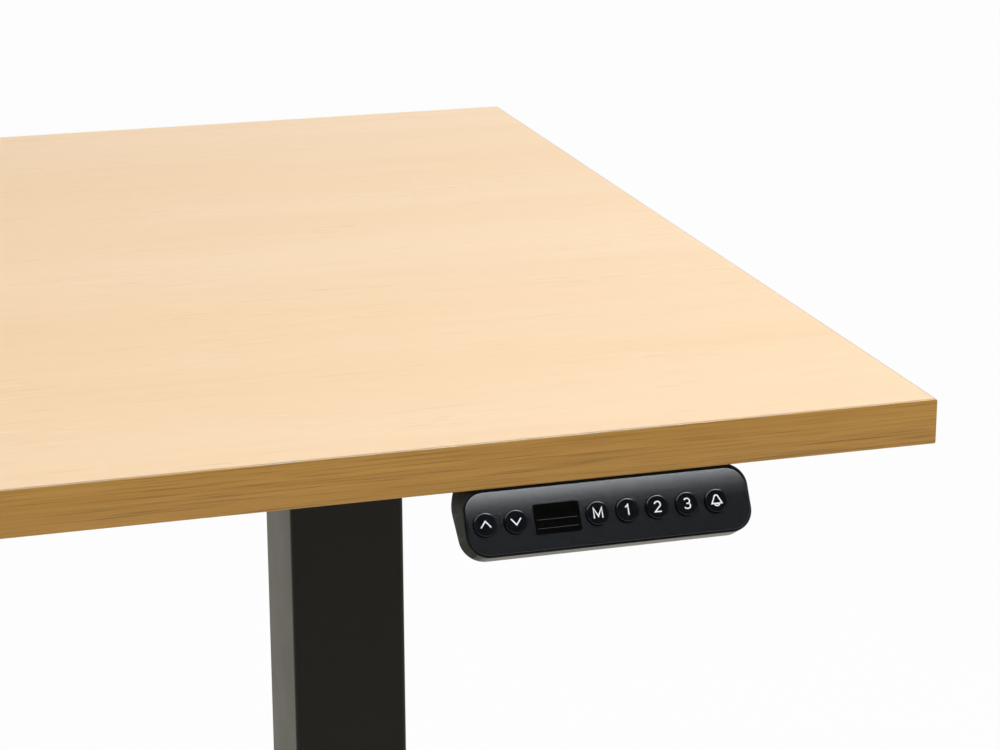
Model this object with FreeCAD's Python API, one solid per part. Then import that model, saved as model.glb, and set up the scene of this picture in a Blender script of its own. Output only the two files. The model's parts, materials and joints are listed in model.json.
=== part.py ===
import FreeCAD, Part
import math
import os
from FreeCAD import Placement, Rotation, Vector

# Height adjustable desk: a worktop on two telescopic legs with T feet. One motor turns a hexagonal
# shaft that runs from leg to leg, a bevel pair in each leg head turns that leg's spindle, and the
# spindle climbs in a nut that stands on a push tube inside the lower column. A seven button handset
# hangs under the front edge on the right.
# Frame: +X to the user's right, +Y to the back, +Z up, origin on the floor under the middle of the
# whole desk. The desk is modelled at its lowest height. Millimetres and degrees.

# --- worktop
top_width = 1600.0
top_depth = 720.0
top_thickness = 22.0
edge_band = 1.0
top_height = 725.0
travel = 450.0

# --- telescopic columns
leg_inset = 207.0
outer_x = 66.0
outer_y = 72.0
outer_wall = 2.0
outer_radius = 3.0
inner_wall = 2.0
glide_gap = 2.0
slide_clearance = 0.3
column_overlap = 110.0
collar_lip = 4.0
collar_depth = 45.0
stop_gap = 1.0
glide_height = 60.0

# --- feet
foot_set_back = 40.0
foot_side_margin = 3.0
foot_height = 38.0
foot_end_height = 24.0
foot_flat_margin = 40.0
foot_wall = 2.5
foot_clearance = 14.0
base_plate = 5.0
base_plate_reach = 39.0
foot_bolt_reach = 20.0
foot_bolt_inset = 14.0
leveller_inset = 45.0
leveller_radius = 21.0
leveller_pad = 9.0
leveller_travel = 12.0
stud_radius = 4.0
nut_plate = 6.0

# --- spindle drive
spindle_radius = 7.0
spindle_gap = 0.05
spindle_foot_gap = 8.0
shoulder_radius = 14.0
shoulder_height = 6.0
bearing_radius = 17.0
bearing_height = 8.0
nut_radius = 18.0
nut_height = 32.0
push_tube_radius = 15.0
push_tube_wall = 2.5
thread_margin = 8.0

# --- leg head: gearbox and bevel pair
head_plate = 4.0
gear_floor_gap = 6.0
gear_top_gap = 3.0
lid_thickness = 3.0
hex_flats = 7.0
gear_teeth = 16
gear_radius = 15.0
gear_addendum = 1.5
gear_dedendum = 1.9
gear_face = 0.38
gear_hub_radius = 12.0
gear_hub = 5.0
inner_sleeve_radius = 8.0
outer_sleeve_radius = 5.6
pocket_gap = 2.5
head_bolt_inset = 7.0

# --- frame under the worktop
support_set_back = 80.0
support_side_gap = 3.5
support_wall = 2.5
support_depth = 38.0
support_end_depth = 16.0
support_flat_margin = 14.0
rail_motor_gap = 2.0
rail_depth = 20.0
rail_height = 30.0
rail_wall = 1.5
rail_end_plate = 3.0
rail_end_width = 52.0
bolt_radius = 3.0
bolt_head_radius = 5.0
bolt_head = 4.0
screw_radius = 2.3
screw_length = 14.0
hole_gap = 0.3

# --- motor unit
motor_block_x = 56.0
motor_block_y = 60.0
motor_drop = 22.0
motor_radius = 25.0
motor_length = 78.0
motor_cap = 14.0
hub_radius = 9.0

# --- control box
box_x = 240.0
box_y = 90.0
box_height = 36.0
box_wall = 2.5
box_lid = 8.0
box_ear = 14.0

# --- handset
handset_from_end = 162.85
handset_tilt = 30.0
handset_drop = 13.9
bezel_end_margin = 6.78
bezel_height = 29.2
bezel_radius = 9.6
bezel_thickness = 2.0
bezel_proud = 1.0
handset_wall = 0.9
handset_depth_low = 10.5
handset_depth_high = 21.5
rear_corner = 19.5
face_rise = 0.65
flange_reach = 15.0
flange_thickness = 4.0
button_radius = 5.4
button_proud = 1.3
button_flange = 0.9
button_spacing = 1.6
row_offset = -3.8
button_travel = 0.8
button_gap = 0.25
window_x = 21.5
window_y = 13.8
window_step = -1.725
window_recess = 0.25
board_depth = 6.3
board_thickness = 1.2

# --- places worked out from the sizes above
underside = top_height - top_thickness
front_edge = -top_depth / 2
inner_x = outer_x - 2 * (outer_wall + glide_gap)
inner_y = outer_y - 2 * (outer_wall + glide_gap)
inner_radius = max(outer_radius - outer_wall, 0.5) + 1.0
gear_tip = gear_radius + gear_addendum
shaft_drop = lid_thickness + gear_tip + gear_top_gap
gearbox_height = (gear_tip + gear_top_gap + gear_radius + gear_hub + gear_floor_gap + head_plate)
head_bolt_x = inner_x / 2 - head_bolt_inset
head_bolt_y = inner_y / 2 - head_bolt_inset
foot_width = outer_x + 2 * foot_side_margin
foot_length = top_depth - 2 * foot_set_back
base_plate_length = outer_y + 2 * base_plate_reach
foot_bolt_spacing = outer_y + 2 * foot_bolt_reach
foot_flat = base_plate_length + 2 * foot_flat_margin
support_width = inner_x + 2 * (support_wall + support_side_gap)
support_length = top_depth - 2 * support_set_back
rail_offset = (motor_block_y / 2 + motor_length + motor_cap + rail_motor_gap + rail_end_width / 2)
support_flat = 2 * (rail_offset + rail_end_width / 2 + support_flat_margin)
button_pitch = 2 * (button_radius + button_flange) + button_spacing
leg_x = top_width / 2 - leg_inset
head_top = underside - support_wall
gearbox_top = head_top - lid_thickness
gearbox_bottom = gearbox_top - gearbox_height
shaft_z = head_top - shaft_drop
column_top = gearbox_bottom
foot_top = foot_clearance + foot_height
column_foot = foot_top + base_plate
collar_top = column_top - head_plate - stop_gap
outer_top = collar_top - collar_lip
inner_bottom = outer_top - travel - column_overlap
spindle_bottom = column_foot + spindle_foot_gap
nut_bottom = spindle_bottom + travel + thread_margin
sides = {"left": -1.0, "right": 1.0}
button_steps = {"button_up": -4.1, "button_down": -3.1, "button_memory": -0.4, "button_one": 0.6,
                "button_two": 1.6, "button_three": 2.6, "button_bell": 3.6}
row_length = (max(button_steps.values()) - min(button_steps.values())) * button_pitch
row_middle = (max(button_steps.values()) + min(button_steps.values())) / 2
window_centre = (window_step - row_middle) * button_pitch + row_offset
bezel_width = row_length + 2 * (button_radius + bezel_end_margin)


# ---------------------------------------------------------------- shape helpers
def block(x0, x1, y0, y1, z0, z1):
    return Part.makeBox(x1 - x0, y1 - y0, z1 - z0, Vector(x0, y0, z0))


def bar(x, y, z0, z1, size_x, size_y):
    return block(x - size_x / 2, x + size_x / 2, y - size_y / 2, y + size_y / 2, z0, z1)


def rod(radius, start, length, direction=Vector(0, 0, 1)):
    return Part.makeCylinder(radius, length, start, direction)


def rounded_outline(size_x, size_y, radius):
    """Closed wire: a rectangle about the origin in the XY plane with tangent corner arcs."""
    hx, hy = size_x / 2, size_y / 2
    r = min(radius, hx - 0.01, hy - 0.01)
    k = r * (1 - math.sqrt(0.5))
    edges = []
    corners = [(hx, -hy, 1, -1), (hx, hy, 1, 1), (-hx, hy, -1, 1), (-hx, -hy, -1, -1)]
    stops = []
    for cx, cy, sx, sy in corners:
        across = Vector(cx - sx * r, cy, 0)
        along = Vector(cx, cy - sy * r, 0)
        middle = Vector(cx - sx * k, cy - sy * k, 0)
        stops.append((across, middle, along) if sx * sy < 0 else (along, middle, across))
    for i, (start, middle, end) in enumerate(stops):
        edges.append(Part.Arc(start, middle, end).toShape())
        edges.append(Part.LineSegment(end, stops[(i + 1) % 4][0]).toShape())
    return Part.Wire(edges)


def rounded_bar(size_x, size_y, radius, z0, z1, x=0.0, y=0.0):
    face = Part.Face(rounded_outline(size_x, size_y, radius))
    solid = face.extrude(Vector(0, 0, z1 - z0))
    solid.translate(Vector(x, y, z0))
    return solid


def prism_along_x(points, x0, x1):
    """Solid from a closed outline of (y, z) points, extruded from x0 to x1."""
    wire = Part.makePolygon([Vector(x0, y, z) for y, z in points + points[:1]])
    return Part.Face(wire).extrude(Vector(x1 - x0, 0, 0))


def fuse(shapes):
    whole = shapes[0].fuse(shapes[1:]) if len(shapes) > 1 else shapes[0]
    return whole.removeSplitter()


def cut(shape, tools):
    return shape.cut(Part.Compound(tools))


def group(shapes):
    return Part.Compound(shapes)


def put(shape, placement):
    """The shape carried from its own frame into that placement."""
    moved = shape.copy()
    moved.Placement = placement.multiply(shape.Placement)
    return moved


def bolt(head_at, length, direction, radius=bolt_radius, head_radius=bolt_head_radius,
         head=bolt_head):
    """Button head bolt: the head lies outside head_at, the shank runs along direction."""
    shank = rod(radius, head_at - direction * 0.5, length + 0.5, direction)
    cap = rod(head_radius, head_at - direction * head, head, direction)
    rim = [e for e in cap.Edges if e.Length > 2 * math.pi * head_radius * 0.99
           and (e.CenterOfMass - head_at).dot(direction) < -head / 2]
    cap = cap.makeFillet(head * 0.45, rim)
    socket = hexagon(head_radius * 0.9, head_at - direction * head, head * 0.5, direction)
    return fuse([cap, shank]).cut(socket)


def hexagon(flats, start, length, direction):
    """Hexagonal prism with that width across flats, along direction from start."""
    corner = flats / math.sqrt(3)
    points = [Vector(corner * math.cos(math.radians(60 * i + 30)),
                     corner * math.sin(math.radians(60 * i + 30)), 0) for i in range(7)]
    solid = Part.Face(Part.makePolygon(points)).extrude(Vector(0, 0, length))
    return put(solid, Placement(start, Rotation(Vector(0, 0, 1), direction)))


# ---------------------------------------------------------------- worktop
def worktop():
    """Board and its four glued edge bands, with pilot holes for every screw from below."""
    hx, hy = top_width / 2, top_depth / 2
    board = block(-hx + edge_band, hx - edge_band, -hy + edge_band, hy - edge_band,
                  underside, top_height)
    holes = [rod(screw_radius + 0.05, Vector(x, y, underside - 1), screw_length + 1.5)
             for x, y in support_screws() + rail_screws() + box_screws() + handset_screws()]
    front = block(-hx + edge_band, hx - edge_band, -hy, -hy + edge_band, underside, top_height)
    rear = block(-hx + edge_band, hx - edge_band, hy - edge_band, hy, underside, top_height)
    ends = [block(s * hx - (edge_band if s > 0 else 0), s * hx + (0 if s > 0 else edge_band),
                  -hy, hy, underside, top_height) for s in sides.values()]
    return {"worktop_board": cut(board, holes), "edge_band_front": front,
            "edge_band_rear": rear, "edge_bands_ends": group(ends)}


def support_screws():
    ys = [-support_length / 2 + 22, -support_length / 2 + 78]
    return [(s * leg_x, sign * y) for s in sides.values() for sign in (1, -1) for y in ys]


def rail_screws():
    return [(x, sign * rail_offset) for x in (-250.0, 250.0) for sign in (1, -1)]


def box_screws():
    x = box_x / 2 + box_ear / 2
    return [(sx * x, box_centre_y() + sy * box_y * 0.3) for sx in (1, -1) for sy in (1, -1)]


def handset_screws():
    x = top_width / 2 - handset_from_end
    y = handset_profile()[2][0] + flange_reach / 2
    return [(x + s * bezel_width * 0.26, y) for s in (1, -1)]


def tabletop_screws():
    """Every wood screw that goes up into the board, as one group of separate screws."""
    made = []
    places = [(support_screws(), head_top), (rail_screws(), underside - rail_height),
              (box_screws(), underside - box_wall), (handset_screws(), underside - flange_thickness)]
    for points, seat in places:
        for x, y in points:
            length = screw_length + underside - seat
            made.append(bolt(Vector(x, y, seat), length, Vector(0, 0, 1),
                             screw_radius, screw_radius * 2, screw_radius * 1.3))
    return group(made)


# ---------------------------------------------------------------- frame under the worktop
def side_support(side):
    """Folded steel channel, web up against the board, flanges tapering to its ends."""
    x = side * leg_x
    half, flat = support_length / 2, support_flat / 2
    low, high = underside - support_depth, underside
    end = underside - support_end_depth
    outline = [(-half, high), (-half, end), (-flat, low), (flat, low), (half, end), (half, high)]
    solid = prism_along_x(outline, x - support_width / 2, x + support_width / 2)
    inside = block(x - support_width / 2 + support_wall, x + support_width / 2 - support_wall,
                   -half - 1, half + 1, low - 1, head_top)
    holes = [rod(screw_radius + hole_gap, Vector(px, py, head_top - 1), support_wall + 2)
             for px, py in support_screws() if px * side > 0]
    holes += [rod(bolt_radius + hole_gap, Vector(x + sx * head_bolt_x, sy * head_bolt_y,
                                                 head_top - 1), support_wall + 2)
              for sx in (1, -1) for sy in (1, -1)]
    flange = x - side * (support_width / 2 + 1)
    inward = Vector(side, 0, 0)
    holes.append(rod(inner_sleeve_radius + 1.5, Vector(flange, 0, shaft_z),
                     support_wall + 2, inward))
    holes += [rod(bolt_radius + hole_gap, Vector(flange, y, z), support_wall + 2, inward)
              for y, z in rail_bolt_places() + motor_bolt_places(side)]
    return cut(solid.cut(inside), holes)


def rail_bolt_places():
    reach = rail_end_width / 2 - 8
    z = underside - rail_height / 2
    return [(sign * rail_offset + s * reach, z) for sign in (1, -1) for s in (1, -1)]


def motor_bolt_places(side):
    return [(s * (motor_block_y / 2 - 8), head_top - 10) for s in (1, -1)] if side < 0 else []


def rail(sign):
    """Cross rail: a rectangular tube with a welded plate at each end, bolted to the supports."""
    y = sign * rail_offset
    reach = leg_x - support_width / 2
    low = underside - rail_height
    tube = block(-reach, reach, y - rail_depth / 2, y + rail_depth / 2, low, underside)
    hollow = block(-reach + rail_end_plate, reach - rail_end_plate,
                   y - rail_depth / 2 + rail_wall, y + rail_depth / 2 - rail_wall,
                   low + rail_wall, underside - rail_wall)
    plates = [block(s * reach - (rail_end_plate if s > 0 else 0),
                    s * reach + (0 if s > 0 else rail_end_plate),
                    y - rail_end_width / 2, y + rail_end_width / 2, low, underside)
              for s in sides.values()]
    holes = [rod(screw_radius + hole_gap, Vector(px, py, low - 1), rail_height + 2)
             for px, py in rail_screws() if py * sign > 0]
    for s in sides.values():
        holes += [rod(bolt_radius + hole_gap, Vector(s * (reach - rail_end_plate - 1), py, pz),
                      rail_end_plate + 2, Vector(s, 0, 0))
                  for py, pz in rail_bolt_places() if py * sign > 0]
    return cut(fuse([tube] + plates).cut(hollow), holes)


def frame_bolts():
    """Machine bolts that hold the rails and the motor unit to the side supports."""
    made = []
    for side in sides.values():
        seat = side * (leg_x - support_width / 2 + support_wall)
        for y, z in rail_bolt_places():
            made.append(bolt(Vector(seat, y, z), support_wall + rail_end_plate + 3,
                             Vector(-side, 0, 0)))
        for y, z in motor_bolt_places(side):
            made.append(bolt(Vector(seat, y, z), support_wall + 10, Vector(-side, 0, 0),
                             bolt_radius, bolt_head_radius, 2.5))
    return group(made)


# ---------------------------------------------------------------- leg head
def gearbox(side):
    """Cast housing on top of the inner column, bored for the sleeves of the shaft gear."""
    x = side * leg_x
    solid = rounded_bar(inner_x, inner_y, inner_radius, gearbox_bottom, gearbox_top, x)
    floor = gearbox_bottom + head_plate
    tip = gear_tip
    pocket = rod(tip + pocket_gap, Vector(x, 0, floor), gearbox_top - floor + 1)
    reach = gear_radius + gear_hub + 1
    bay = block(min(x, x - side * reach), max(x, x - side * reach), -tip - pocket_gap / 2,
                tip + pocket_gap / 2, shaft_z - tip - pocket_gap / 2, gearbox_top + 1)
    holes = [pocket, bay]
    holes.append(rod(inner_sleeve_radius + spindle_gap, Vector(x, 0, shaft_z),
                     inner_x, Vector(-side, 0, 0)))
    holes.append(rod(outer_sleeve_radius + spindle_gap, Vector(x, 0, shaft_z),
                     inner_x, Vector(side, 0, 0)))
    holes.append(rod(spindle_radius + 1.5, Vector(x, 0, gearbox_bottom - 1), head_plate + 2))
    holes += head_bolt_holes(x, gearbox_bottom - 1, gearbox_top + 1)
    return cut(solid, holes)


def head_bolt_holes(x, z0, z1):
    return [rod(bolt_radius + hole_gap, Vector(x + sx * head_bolt_x, sy * head_bolt_y, z0), z1 - z0)
            for sx in (1, -1) for sy in (1, -1)]


def gearbox_lid(side):
    x = side * leg_x
    lid = rounded_bar(inner_x, inner_y, inner_radius, gearbox_top, head_top, x)
    return cut(lid, head_bolt_holes(x, gearbox_top - 1, head_top + 1))


def head_bolts():
    """Long bolts from the column's head plate up through the gearbox into the side support."""
    seat = column_top - head_plate
    return group([bolt(Vector(side * leg_x + sx * head_bolt_x, sy * head_bolt_y, seat),
                       head_top - seat + support_wall, Vector(0, 0, 1),
                       bolt_radius, bolt_radius + 1.0, stop_gap * 0.8)
                  for side in sides.values() for sx in (1, -1) for sy in (1, -1)])


def tooth_outline(distance):
    """Closed wire of the bevel gear's teeth in the plane at that distance from the apex."""
    scale = distance / gear_radius
    pitch = 2 * math.pi / gear_teeth
    tip, root = gear_tip, gear_radius - gear_dedendum
    profile = [(root, -0.30), (tip, -0.11), (tip, 0.11), (root, 0.30)]
    points = []
    for tooth in range(gear_teeth):
        for radius, share in profile:
            angle = pitch * (tooth + share)
            points.append(Vector(radius * scale * math.cos(angle),
                                 radius * scale * math.sin(angle), distance))
    return Part.makePolygon(points + points[:1])


def bevel_teeth():
    """Toothed cone about +Z with its apex at the origin, big end at z = gear_radius."""
    return Part.makeLoft([tooth_outline(gear_radius * (1 - gear_face)),
                          tooth_outline(gear_radius)], True, True)


def spindle_gear(side):
    """Bevel gear on the spindle's top, facing up to the shaft."""
    teeth = bevel_teeth()
    teeth.rotate(Vector(0, 0, 0), Vector(1, 0, 0), 180)
    hub_top = -gear_radius + 0.01
    hub = rod(gear_hub_radius, Vector(0, 0, -gear_radius - gear_hub), gear_hub + 0.01)
    gear = fuse([teeth, hub])
    gear = gear.cut(rod(spindle_radius, Vector(0, 0, -3 * gear_radius), 3 * gear_radius))
    gear.translate(Vector(side * leg_x, 0, shaft_z))
    return gear


def shaft_gear(side):
    """Bevel gear on the hexagonal shaft, with sleeves that run in the gearbox's two bores."""
    teeth = bevel_teeth()
    teeth.rotate(Vector(0, 0, 0), Vector(0, 0, 1), 180.0 / gear_teeth)
    hub = rod(gear_hub_radius, Vector(0, 0, gear_radius - 0.01), gear_hub + 0.01)
    inner_end = inner_x / 2 + 2
    inner = rod(inner_sleeve_radius, Vector(0, 0, gear_radius), inner_end - gear_radius)
    outer = rod(outer_sleeve_radius, Vector(0, 0, -inner_x / 2), inner_x / 2 + gear_radius * 0.9)
    gear = fuse([teeth, hub, inner, outer])
    bore = hexagon(hex_flats, Vector(0, 0, -inner_x), 2 * inner_x, Vector(0, 0, 1))
    return put(gear.cut(bore), Placement(Vector(side * leg_x, 0, shaft_z),
                                         Rotation(Vector(0, 1, 0), -90.0 * side)))


def drive_shaft():
    """Hexagonal bar from one gearbox's outer wall to the other's."""
    reach = leg_x + inner_x / 2 - 1
    shaft = hexagon(hex_flats, Vector(0, 0, -reach), 2 * reach, Vector(0, 0, 1))
    return put(shaft, Placement(Vector(0, 0, shaft_z), Rotation(Vector(0, 1, 0), 90.0)))


def spindle(side):
    """Spindle with the thrust shoulder that carries the desk, under the head plate's bearing."""
    top = shaft_z - outer_sleeve_radius - 2.5
    shoulder_top = column_top - head_plate - bearing_height - 2 * spindle_gap
    body = rod(spindle_radius, Vector(0, 0, spindle_bottom), top - spindle_bottom)
    shoulder = rod(shoulder_radius, Vector(0, 0, shoulder_top - shoulder_height), shoulder_height)
    whole = fuse([body, shoulder])
    whole.translate(Vector(side * leg_x, 0, 0))
    return whole


def spindle_bearing(side):
    x = side * leg_x
    z = column_top - head_plate - bearing_height
    ring = rod(bearing_radius, Vector(x, 0, z), bearing_height)
    groove = rod(bearing_radius + 1, Vector(x, 0, z + bearing_height * 0.4), bearing_height * 0.2)
    groove = groove.cut(rod(bearing_radius - 1.5, Vector(x, 0, z), bearing_height))
    return cut(ring, [rod(spindle_radius + 0.6, Vector(x, 0, z - 1), bearing_height + 2), groove])


# ---------------------------------------------------------------- columns
def inner_column(side):
    """Moving tube with its welded head plate."""
    x = side * leg_x
    plate_low = column_top - head_plate
    tube = rounded_bar(inner_x, inner_y, inner_radius, inner_bottom, plate_low, x)
    hollow = rounded_bar(inner_x - 2 * inner_wall, inner_y - 2 * inner_wall,
                         inner_radius - inner_wall / 2, inner_bottom - 1, plate_low, x)
    plate = rounded_bar(outer_x, outer_y, outer_radius, plate_low, column_top, x)
    holes = head_bolt_holes(x, plate_low - 8, column_top + 1)
    holes.append(rod(spindle_radius + 1.5, Vector(x, 0, plate_low - 1), head_plate + 2))
    return cut(fuse([tube.cut(hollow), plate]), holes)


def inner_glide(side):
    """Plastic shoe round the foot of the inner tube, running inside the outer tube."""
    x = side * leg_x
    outside_x = outer_x - 2 * outer_wall - 2 * slide_clearance
    outside_y = outer_y - 2 * outer_wall - 2 * slide_clearance
    ring = rounded_bar(outside_x, outside_y, outer_radius - outer_wall / 2,
                       inner_bottom, inner_bottom + glide_height, x)
    hole = rounded_bar(inner_x, inner_y, inner_radius, inner_bottom - 1,
                       inner_bottom + glide_height + 1, x)
    return ring.cut(hole)


def outer_column(side):
    """Lower tube welded to the plate that is bolted on the foot."""
    x = side * leg_x
    tube = rounded_bar(outer_x, outer_y, outer_radius, column_foot, outer_top, x)
    hollow = rounded_bar(outer_x - 2 * outer_wall, outer_y - 2 * outer_wall,
                         outer_radius - outer_wall / 2, column_foot - 1, outer_top + 1, x)
    plate = rounded_bar(foot_width - 2, base_plate_length, 4.0, foot_top, column_foot, x)
    holes = [rod(bolt_radius + 1 + hole_gap, Vector(px, py, foot_top - 1), base_plate + 2)
             for px, py in foot_bolt_places(side)]
    return cut(fuse([tube.cut(hollow), plate]), holes)


def foot_bolt_places(side):
    return [(side * leg_x + sx * (foot_width / 2 - foot_bolt_inset), sy * foot_bolt_spacing / 2)
            for sx in (1, -1) for sy in (1, -1)]


def column_collar(side):
    """Guide bush pressed into the top of the outer tube, with a lip that caps its edge."""
    x = side * leg_x
    lip = rounded_bar(outer_x, outer_y, outer_radius, outer_top, collar_top, x)
    edges = [e for e in lip.Edges if e.BoundBox.ZMin > collar_top - 0.01]
    lip = lip.makeFillet(1.5, edges)
    skirt = rounded_bar(outer_x - 2 * outer_wall, outer_y - 2 * outer_wall,
                        outer_radius - outer_wall / 2, outer_top - collar_depth, outer_top, x)
    hole = rounded_bar(inner_x + 2 * slide_clearance, inner_y + 2 * slide_clearance,
                       inner_radius + slide_clearance, outer_top - collar_depth - 1,
                       collar_top + 1, x)
    return fuse([lip, skirt]).cut(hole)


def push_tube(side):
    x = side * leg_x
    tube = rod(push_tube_radius, Vector(x, 0, column_foot), nut_bottom - column_foot)
    return tube.cut(rod(push_tube_radius - push_tube_wall, Vector(x, 0, column_foot - 1),
                        nut_bottom - column_foot + 2))


def spindle_nut(side):
    """Flanged plastic nut on the push tube, with a plain running bore for the spindle."""
    x = side * leg_x
    nut = fuse([rod(nut_radius, Vector(x, 0, nut_bottom), 8.0),
                rod(nut_radius - 4, Vector(x, 0, nut_bottom), nut_height)])
    return nut.cut(rod(spindle_radius + spindle_gap, Vector(x, 0, nut_bottom - 1), nut_height + 2))


# ---------------------------------------------------------------- feet
def foot(side):
    """Folded and welded steel foot, open below, with a threaded plate at each end."""
    x = side * leg_x
    half, flat = foot_length / 2, foot_flat / 2
    low, high, end = foot_clearance, foot_top, foot_clearance + foot_end_height

    def shell(inset, drop):
        outline = [(-half + inset, low - drop), (half - inset, low - drop),
                   (half - inset, end - inset), (flat, high - inset), (-flat, high - inset),
                   (-half + inset, end - inset)]
        return prism_along_x(outline, x - foot_width / 2 + inset, x + foot_width / 2 - inset)

    outside = shell(0.0, 0.0)
    rims = [e for e in outside.Edges if abs(abs(e.CenterOfMass.x - x) - foot_width / 2) < 0.01
            and e.CenterOfMass.z > low + 1]
    outside = outside.makeFillet(3.0, rims)
    plates = [block(x - foot_width / 2 + 1, x + foot_width / 2 - 1,
                    s * (half - leveller_inset) - 22, s * (half - leveller_inset) + 22,
                    low, low + nut_plate) for s in (1, -1)]
    holes = [rod(stud_radius + spindle_gap, Vector(x, s * (half - leveller_inset), low - 1),
                 nut_plate + 2) for s in (1, -1)]
    holes += [rod(bolt_radius + 1 + hole_gap, Vector(px, py, high - foot_wall - 1), foot_wall + 2)
              for px, py in foot_bolt_places(side)]
    return cut(fuse([outside.cut(shell(foot_wall, 1.0))] + plates), holes)


def foot_bolts(side):
    seat = foot_top - foot_wall
    return group([bolt(Vector(px, py, seat), foot_wall + base_plate - 0.5, Vector(0, 0, 1),
                       bolt_radius + 1, bolt_head_radius + 2, bolt_head + 1)
                  for px, py in foot_bolt_places(side)])


def leveller(side, end):
    """Levelling foot screwed right in: moulded pad under the foot, stud through its plate."""
    x = side * leg_x
    y = end * (foot_length / 2 - leveller_inset)
    pad = rod(leveller_radius, Vector(x, y, 0), leveller_pad)
    rim = [e for e in pad.Edges if e.CenterOfMass.z > leveller_pad - 0.01]
    pad = pad.makeFillet(2.5, rim)
    grips = [rod(2.4, Vector(x + (leveller_radius + 0.9) * math.cos(math.radians(a)),
                             y + (leveller_radius + 0.9) * math.sin(math.radians(a)),
                             2.0), leveller_pad) for a in range(0, 360, 30)]
    neck = rod(stud_radius * 2, Vector(x, y, leveller_pad),
               foot_clearance - leveller_pad - slide_clearance)
    stud = rod(stud_radius, Vector(x, y, leveller_pad - 1),
               foot_clearance + foot_end_height - foot_wall - 3 - leveller_pad)
    return fuse([cut(pad, grips), neck, stud])


# ---------------------------------------------------------------- motor unit
def motor_x():
    return -leg_x + support_width / 2 + motor_block_x / 2


def motor_block():
    """Cast worm gear housing beside the left leg head, round the shaft's hub."""
    x = motor_x()
    motor_z = shaft_z - motor_drop
    size = 2 * motor_radius
    solid = block(x - motor_block_x / 2, x + motor_block_x / 2, -motor_block_y / 2,
                  motor_block_y / 2, motor_z - size / 2 + 2, head_top - 1)
    edges = [e for e in solid.Edges if abs(e.CenterOfMass.x - x) < 0.01]
    solid = solid.makeFillet(6.0, edges)
    holes = [rod(hub_radius + spindle_gap, Vector(x - motor_block_x, 0, shaft_z),
                 2 * motor_block_x, Vector(1, 0, 0))]
    holes += [rod(bolt_radius, Vector(x - motor_block_x / 2 - 1, y, z), 12.0, Vector(1, 0, 0))
              for y, z in motor_bolt_places(-1.0)]
    return cut(solid, holes)


def motor_can():
    z = shaft_z - motor_drop
    return rod(motor_radius, Vector(motor_x(), motor_block_y / 2, z), motor_length,
               Vector(0, 1, 0))


def motor_end_cap():
    z = shaft_z - motor_drop
    start = motor_block_y / 2 + motor_length
    cap = rod(motor_radius - 1.5, Vector(motor_x(), start, z), motor_cap, Vector(0, 1, 0))
    rim = [e for e in cap.Edges if e.CenterOfMass.y > start + motor_cap - 0.01]
    return cap.makeFillet(4.0, rim)


def shaft_hub():
    """Round hub on the hexagonal shaft where it passes through the motor's gear housing."""
    x = motor_x() - motor_block_x / 2 + 1
    hub = rod(hub_radius, Vector(x, 0, shaft_z), motor_block_x + 4, Vector(1, 0, 0))
    bore = hexagon(hex_flats, Vector(0, 0, -motor_block_x), 3 * motor_block_x, Vector(0, 0, 1))
    return hub.cut(put(bore, Placement(Vector(x, 0, shaft_z), Rotation(Vector(0, 1, 0), 90.0))))


# ---------------------------------------------------------------- control box
def box_centre_y():
    return rail_offset - rail_depth / 2 - 12 - box_y / 2


def control_box():
    """Moulded tub with screw ears and its lower lid, and the sockets in its left end."""
    y = box_centre_y()
    low = underside - box_height
    tub_low = low + box_lid
    tub = rounded_bar(box_x, box_y, 6.0, tub_low, underside, 0, y)
    inside = rounded_bar(box_x - 2 * box_wall, box_y - 2 * box_wall, 4.0,
                         tub_low - 1, underside - box_wall, 0, y)
    ears = rounded_bar(box_x + 2 * box_ear, box_y * 0.8, 4.0, underside - box_wall, underside, 0, y)
    holes = [rod(screw_radius + hole_gap, Vector(px, py, underside - 5), 6.0)
             for px, py in box_screws()]
    openings = [block(-box_x / 2 - 1, -box_x / 2 + box_wall + 1, y + cy - w / 2, y + cy + w / 2,
                      tub_low + 4, tub_low + 4 + h) for cy, w, h in sockets()]
    base = cut(fuse([tub, ears]).cut(inside), holes + openings)
    lid = rounded_bar(box_x, box_y, 6.0, low, tub_low, 0, y)
    edges = [e for e in lid.Edges if e.BoundBox.ZMax < low + 0.01]
    lid = lid.makeFillet(3.0, edges)
    made = []
    for cy, w, h in sockets():
        body = block(-box_x / 2 - 0.8, -box_x / 2 + 14, y + cy - w / 2 + 0.1,
                     y + cy + w / 2 - 0.1, tub_low + 4.1, tub_low + 3.9 + h)
        mouth = block(-box_x / 2 - 2, -box_x / 2 + 10, y + cy - w / 2 + 1.6,
                      y + cy + w / 2 - 1.6, tub_low + 5.6, tub_low + 2.4 + h)
        made.append(body.cut(mouth))
    return {"control_box_body": base, "control_box_lid": lid, "control_box_sockets": group(made)}


def sockets():
    """(offset along Y, width, height) of the mains inlet, the motor socket and two data sockets."""
    return [(-30.0, 18.0, 12.0), (-7.0, 16.0, 12.0), (14.0, 13.0, 12.0), (31.0, 13.0, 12.0)]


# ---------------------------------------------------------------- handset
def handset_place():
    """Handset frame: x along the desk, y up the face, z out of it, origin on the row of buttons."""
    t = math.radians(handset_tilt)
    centre = Vector(top_width / 2 - handset_from_end,
                    front_edge - handset_drop * math.sin(t),
                    underside - 2.0 - handset_drop * math.cos(t))
    return Placement(centre, Rotation(Vector(1, 0, 0), 90.0 - handset_tilt))


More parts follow.
